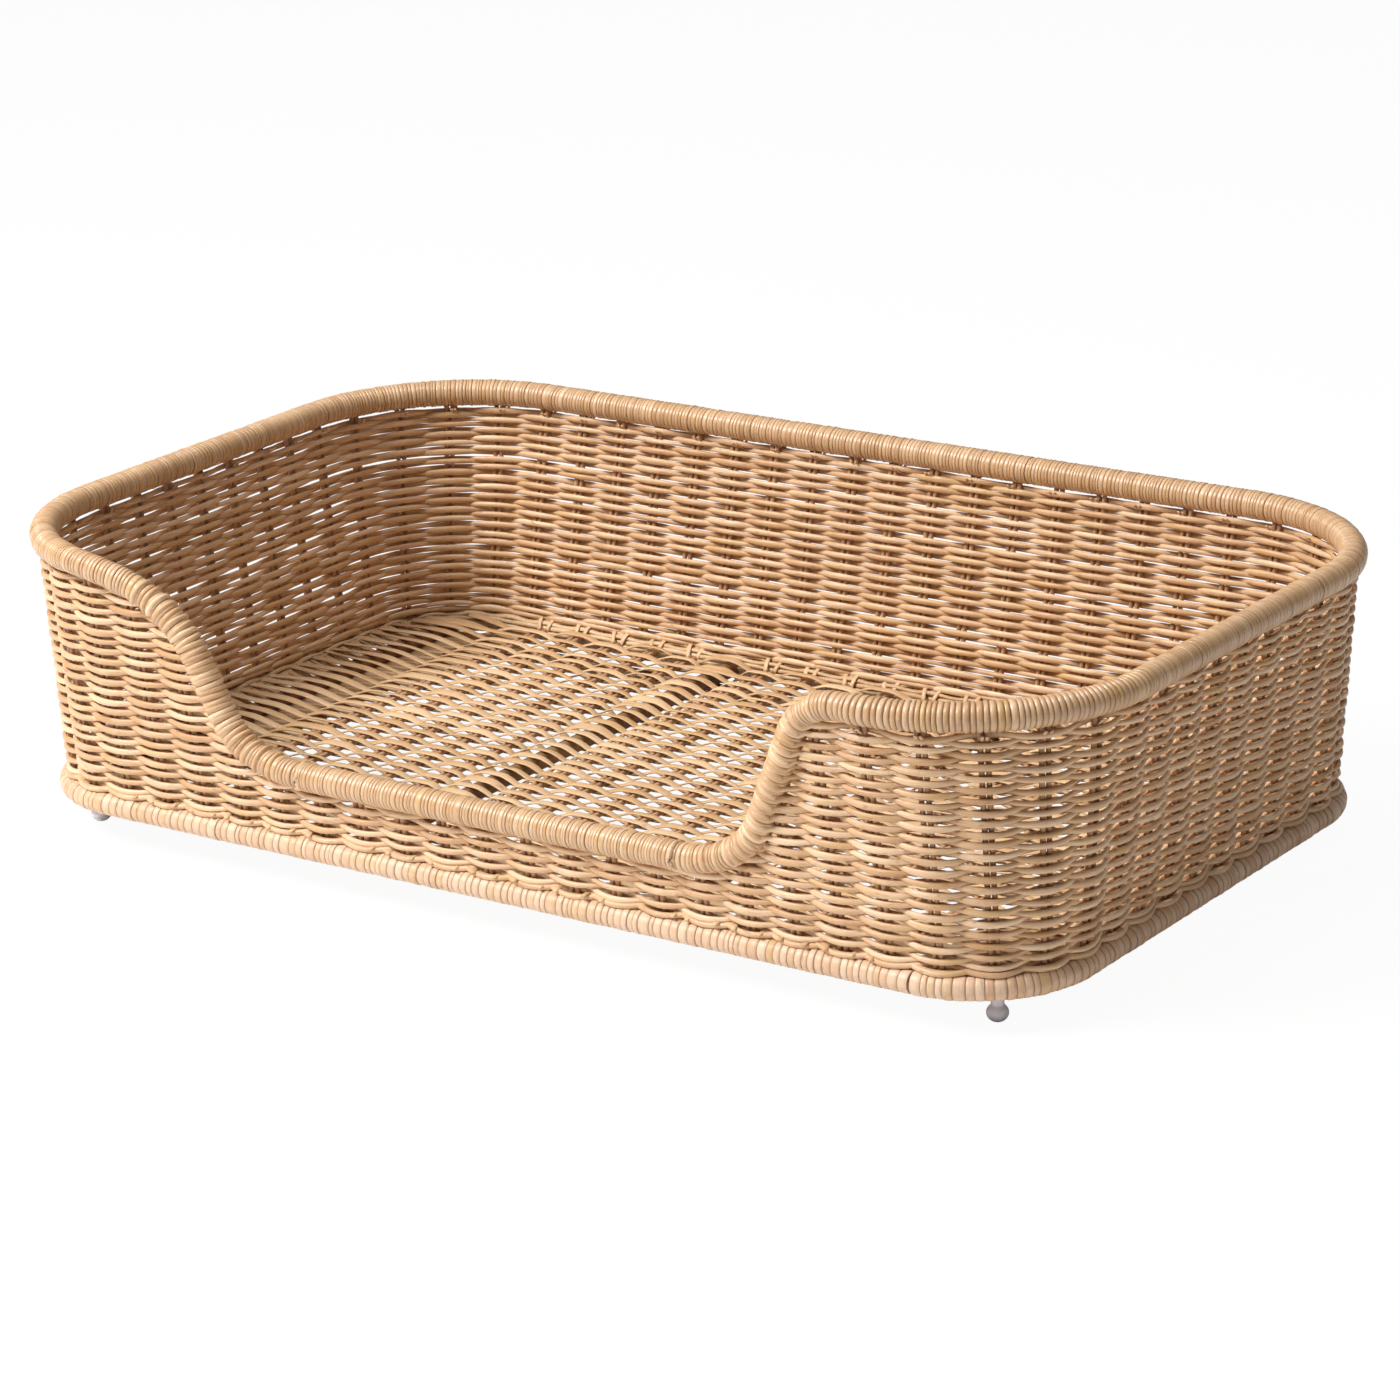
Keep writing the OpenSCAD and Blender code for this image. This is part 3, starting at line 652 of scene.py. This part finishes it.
crossings = sorted([(x, 0) for x in rib_places] + [(s * cross_x, 1) for s in (-1, 1)]
                   + [(s * end_x, 1) for s in (-1, 1)])
cross_at = np.array([c[0] for c in crossings])
strip_w, strip_t, strip_pitch = 2.95 * MM, 0.6 * MM, 6.75 * MM
strip_rows = int((clear_y(0) - strip_w + strip_pitch / 2) / strip_pitch)
hoop_top = hoop_z + 0.8 * hoop_radius - rib_z
flat_strip = {"sides": 8, "square": 0.6}


def woven_strip(lot, row):
    """One strip along the floor, over and under by turns. Returns its place and its half length."""
    y = (row + 0.5) * strip_pitch
    near = abs(abs(y) - runner_y) < run_r + strip_w
    up = np.array([1 if ((i + row) % 2 == 0 or (near and c[1])) else -1
                   for i, c in enumerate(crossings)])
    lift = (up * np.array([(pole_r if c[1] else rib_r) + strip_t + 0.15 * MM for c in crossings])
            - np.array([pole_drop * c[1] for c in crossings]))
    end = clear_x(abs(y) + strip_w) + 0.55 * hoop_radius
    x = np.linspace(-end, end, int(2 * end / (3.6 * MM)))
    marks = np.concatenate([[-end], cross_at, [end]])
    heights = np.concatenate([[hoop_top], lift, [hoop_top]])
    k = np.clip(np.searchsorted(marks, x) - 1, 0, len(marks) - 2)
    f = (x - marks[k]) / (marks[k + 1] - marks[k])
    wavy = 0.5 - 0.5 * np.cos(np.pi * np.clip((f - 0.16) / 0.68, 0, 1))
    last = (k == 0) | (k == len(marks) - 2)
    f = np.where(last, f, wavy)
    z = rib_z + heights[k] * (1 - f) + heights[k + 1] * f
    # The two outermost rows ride up towards the hoop.
    rows_in = strip_rows - abs(row + 0.5)
    ride_up = 2.4 * MM if rows_in < 1 else 0.9 * MM if rows_in < 2 else 0
    z += ride_up * np.clip(2 - np.abs(x) / end * 2, 0, 1)
    over = np.clip((z - rib_z) / (rib_r + strip_t), 0, 1) * (np.abs(x) < end_x)
    wobble = drift(x, 0.05, 0.4 * MM) + np.clip(np.abs(x) - end_x, 0, 1) * rng.normal(0, 0.1)
    path = np.stack([x, np.full_like(x, y) + wobble, z], -1)
    roll = np.stack([np.zeros_like(x), np.ones_like(x), drift(x, 0.04, 0.14)], -1)
    lot.add(path, roll, strip_w * (1 + drift(x, 0.1, 0.06)) * (1 + 0.1 * over), strip_t,
            tone=rng.random(), **flat_strip)
    return y, end


def turned_back(lot, y, end):
    """Where a strip turns round the hoop it comes back slanting under its neighbour, and a
    second, lower layer of strips closes the weave beside the end pole."""
    back = end - end_x - 0.5 * pole_r
    shortest = 8 * MM
    if back < shortest:
        return
    t = np.linspace(0, 1, 8)[:, None]
    for s in (-1, 1):
        beside = y + 0.5 * strip_pitch
        hoop_end = np.array([s * end, y, rib_z + hoop_top - 0.6 * MM])
        pole_end = np.array([s * (end - back), y + s * rng.uniform(0.35, 0.75) * strip_pitch,
                             rib_z - 2 * MM])
        lower = np.array([[s * (end_x + pole_r), beside, rib_z - pole_r],
                          [s * (end_x - pole_r), beside, rib_z - pole_r - 1.2 * MM],
                          [s * (end_x - 1.55 * pitch), beside, rib_z - rib_r - 1.8 * MM]])
        lot.add(hoop_end + (pole_end - hoop_end) * t, [0, 1, rng.normal(0, 0.2)],
                strip_w * rng.uniform(0.7, 1.0), strip_t, tone=rng.random(), **flat_strip)
        lot.add(lower, [0, 1.0, 0], strip_w, strip_t, tone=rng.random(), **flat_strip)


strip_lots = [Lot(), Lot()]
for row in range(-strip_rows, strip_rows):
    turned_back(strip_lots[row % 2], *woven_strip(strip_lots[row % 2], row))
for lot, name in zip(strip_lots, ("even", "odd")):
    lot.piece("woven_strips_" + name, strip_peel, "rattan_strip", "floor_strips_" + name)

# Peel laid along the inner side of the hoop, and short loops over it beside each rib.
lot = Lot()
edge_slants = (8, 30, 52, 74)
s = np.linspace(0, hoop_line.length, 900)
points, outward, _ = hoop_line.at(s)
for k, slant in enumerate(edge_slants):
    away = np.radians(slant)
    r = (hoop_radius + 1.1 * MM + drift(s, 0.03, 0.3 * MM)
         + 1.0 * MM * np.sin(np.pi * (2 * s / pitch + k)))
    path = points - outward * (r * np.cos(away))[:, None] + [0, 0, 1] * (r * np.sin(away))[:, None]
    face = outward * np.sin(away) + np.array([0, 0, 1.0]) * np.cos(away)
    # A little painted shade darkens these strips over their whole width and length, as they lie in
    # the hoop's shade.
    lot.add(path, face, 1.65 * MM * (1 + drift(s, 0.05, 0.1)), 1.1 * MM,
            tone=np.clip(0.5 + drift(s, 0.1, 0.4), 0, 1), deep=0.12)
turn = np.radians(np.linspace(-12, 118, 12))
for x in rib_places:
    for s in (-1, 1):
        for k in (-1, 1):
            r = hoop_radius + (2.2 + rng.uniform(0, 1.6)) * MM
            lean_by = np.linspace(0, rng.uniform(3, 7), 12) * MM * k
            middle = s * (clear_y(abs(x)) + hoop_radius + 0.3 * MM)
            path = np.stack([x + k * stake_gap + lean_by, middle - s * r * np.cos(turn),
                             hoop_z + r * np.sin(turn)], -1)
            lot.add(path, [1.0, 0, 0], 1.7 * MM, 0.6 * MM, tone=rng.random(), square=0.7)
lot.piece("floor_edge_peel", strip_peel, "rattan_peel")

# ---- Poles inside the bindings -------------------------------------------------------
def refinish(name, finish):
    """Gives a CAD node that stays in view its own finish."""
    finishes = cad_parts[name].data.materials
    finishes.clear()
    finishes.append(finish)


for name in ("base_hoop", "rim_pole_back", "rim_pole_front"):
    refinish(name, pole_bark)

# ---- Feet ----------------------------------------------------------------------------
f = Finish("foot_plastic")
spot = f.node("ShaderNodeTexCoord", {}, {}, out="Object")
pitted = f.noise(f.stretched(spot, (900, 900, 900), 0.0), 3.0)
f.fill(f.shader, {"Base Color": f.blend(shade(248, 248, 255), shade(236, 236, 250), pitted),
                  "Roughness": pitted * 0.15 + 0.32, "Normal": f.bump(pitted, 0.0001, 0.5)})
plastic = f.material
foot_steps = 22
bulb_at, bulb_reach = 0.36, 0.42    # the bulb's middle and half height over the foot's height
toe, stem = 0.5, 0.6                # radii below and above the bulb over its own
for name in ("foot_front_left", "foot_front_right", "foot_back_left", "foot_back_right"):
    low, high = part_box(name)
    cx, cy = (low.x + high.x) / 2, (low.y + high.y) / 2
    big, tall = (high.x - low.x) / 2, high.z - low.z
    t = np.linspace(0, 1, foot_steps)
    bulb = np.sqrt(np.clip(1 - ((t - bulb_at) / bulb_reach) ** 2, 0, 1)) * big
    r = np.where(t < bulb_at, np.maximum(bulb, toe * big), np.maximum(bulb, stem * big))
    lot = Lot()
    lot.add(np.stack([np.full(foot_steps, cx), np.full(foot_steps, cy), low.z + tall * t], -1),
            [1.0, 0, 0], r, sides=28)
    lot.piece(name + "_moulded", plastic, "foot_plastic", name)
f = Finish("nail_steel")
spot = f.node("ShaderNodeTexCoord", {}, {}, out="Object")
drawn = f.noise(f.stretched(spot, (2000, 2000, 60), 0.0), 2.0)
f.fill(f.shader, {"Base Color": f.blend(shade(190, 190, 192), shade(160, 160, 164), drawn),
                  "Metallic": 1.0, "Roughness": drawn * 0.2 + 0.3})
refinish("foot_nails", f.material)

# ---- Floor of the room, light and camera ---------------------------------------------
scene = bpy.context.scene
scene.view_settings.view_transform = "Standard"
ground = bpy.data.meshes.new("ground")
ground.from_pydata([(-9, -9, 0), (9, -9, 0), (9, 9, 0), (-9, 9, 0)], [], [(0, 1, 2, 3)])
ground_thing = bpy.data.objects.new("ground", ground)
scene.collection.objects.link(ground_thing)
f = Finish("pale_ground")
f.fill(f.shader, {"Base Color": (0.93, 0.93, 0.93, 1), "Roughness": 0.9, "Specular IOR Level": 0.1})
glow = f.node("ShaderNodeEmission", {}, {"Color": (1, 1, 1, 1), "Strength": 1.0})
looked_at = f.node("ShaderNodeLightPath", out="Is Camera Ray")
both = f.node("ShaderNodeMixShader", {},
              {0: looked_at * 0.95, 1: Reading(f, f.shader.outputs[0]), 2: glow})
f.tree.links.new(both.socket, f.tree.nodes["Material Output"].inputs["Surface"])
ground.materials.append(f.material)

world = bpy.data.worlds.new("studio")
scene.world = world
sky = Finish("studio", world)
sky_light, sky_seen = 0.15, 1.05
straight_to_eye = sky.node("ShaderNodeLightPath", out="Is Camera Ray")
sky.fill(sky.shader, {"Color": (1, 1, 1, 1),
                      "Strength": straight_to_eye * (sky_seen - sky_light) + sky_light})


def lamp(name, place, size, power, colour=(1, 1, 1)):
    light = bpy.data.lights.new(name, "AREA")
    light.shape, light.size, light.energy, light.color = "DISK", size, power, colour
    thing = bpy.data.objects.new(name, light)
    thing.location = place
    thing.rotation_mode = "QUATERNION"
    thing.rotation_quaternion = (Vector((0, 0, 0.1)) - Vector(place)).to_track_quat("-Z", "Y")
    scene.collection.objects.link(thing)


lamp("key", (-1.6, -1.9, 2.8), 1.6, 180, (1, 0.985, 0.965))
lamp("top", (0.0, 0.0, 3.4), 2.2, 42)

eye = bpy.data.cameras.new("eye")
eye_thing = bpy.data.objects.new("eye", eye)
scene.collection.objects.link(eye_thing)
scene.camera = eye_thing
eye.sensor_width = 36.0
eye.lens = 125.735
eye.clip_start, eye.clip_end = 0.05, 60
az, el, roll = (math.radians(angle) for angle in (34.937, 18.388, -1.666))
aim, distance = Vector((0.0687, -0.0876, 0.0944 + hoop_z)), 3.0447
away = Vector((math.sin(az) * math.cos(el), -math.cos(az) * math.cos(el), math.sin(el)))
right = Vector((math.cos(az), math.sin(az), 0))
up = away.cross(right)
right, up = (right * math.cos(roll) + up * math.sin(roll),
             up * math.cos(roll) - right * math.sin(roll))
place = aim + away * distance
eye_thing.matrix_world = Matrix((
    (right.x, up.x, away.x, place.x), (right.y, up.y, away.y, place.y),
    (right.z, up.z, away.z, place.z), (0, 0, 0, 1)))
